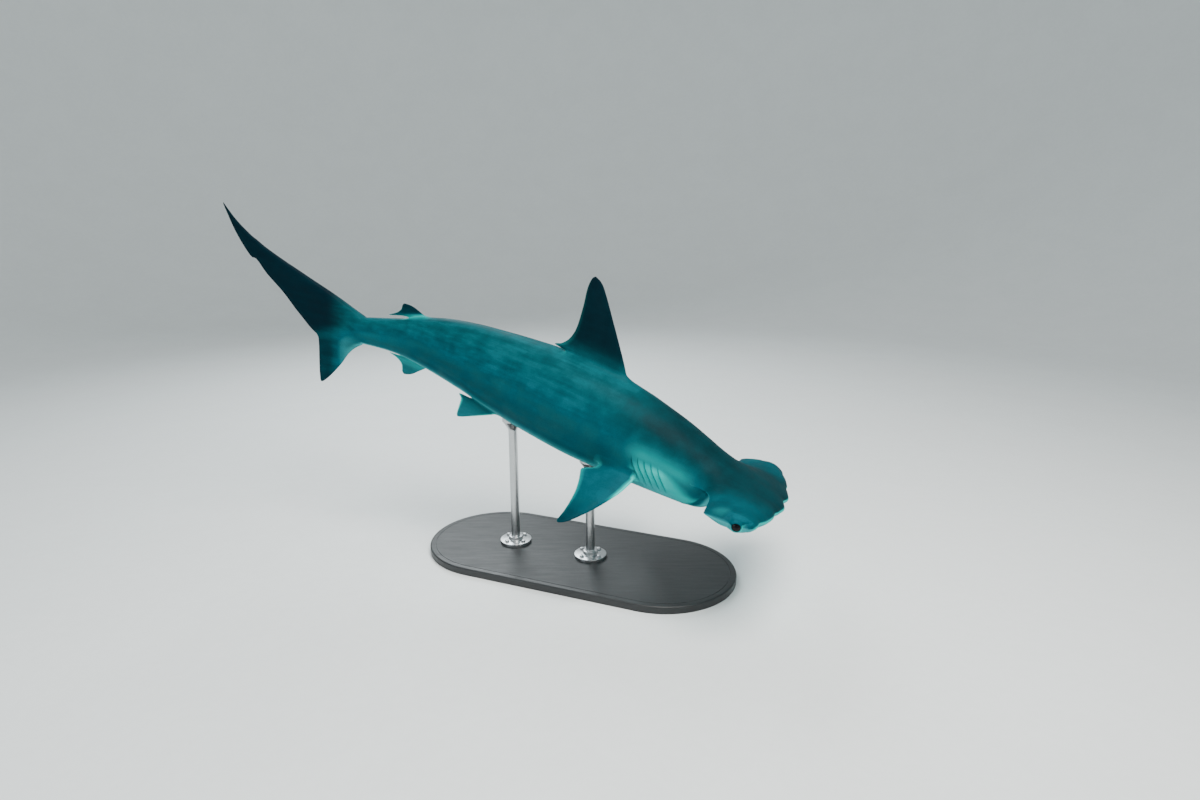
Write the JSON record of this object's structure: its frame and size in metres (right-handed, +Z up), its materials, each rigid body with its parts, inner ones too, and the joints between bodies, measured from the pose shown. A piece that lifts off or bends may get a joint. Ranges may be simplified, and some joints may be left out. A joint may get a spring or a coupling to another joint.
{
  "type": "hammerhead shark display model",
  "caption": "Life-size scalloped hammerhead shark, swimming head down with its tail swung to one side, held over a flat base by short rods.",
  "frame": {"origin": "Middle of the underside of the stand's base.", "axes": "+Z is up and the base's underside lies in the plane Z = 0. +X is the way the shark swims in the picture, to the right of the picture, and is the longest side of the box. +Y is away from the viewer. The head points 22.5 degrees off +X towards -Y and 18.2 degrees down at the shoulder."},
  "size_m": [2.1318, 1.0029, 1.3476],
  "materials": {
    "skin": "shark skin, fine-grained and satin, in the blue-green that it shows under water: dark crown and fins, paler gills and belly",
    "eye": "wet gloss, dark iris and pupil",
    "stand_board": "satin black lacquered board",
    "stand_steel": "brushed stainless steel"
  },
  "bodies": {
    "root": {"head": "skin", "gill_region": "skin", "trunk_front": "skin", "trunk_rear": "skin", "tail_stem": "skin", "caudal_upper_lobe": "skin", "caudal_lower_lobe": "skin", "first_dorsal_fin": "skin", "second_dorsal_fin": "skin", "anal_fin": "skin", "pectoral_fin_left": "skin", "pectoral_fin_right": "skin", "pelvic_fin_left": "skin", "pelvic_fin_right": "skin", "eye_left": "eye", "eye_right": "eye", "stand_base": "stand_board", "stand_rod_front": "stand_steel", "stand_rod_rear": "stand_steel"}
  },
  "joints": []
}
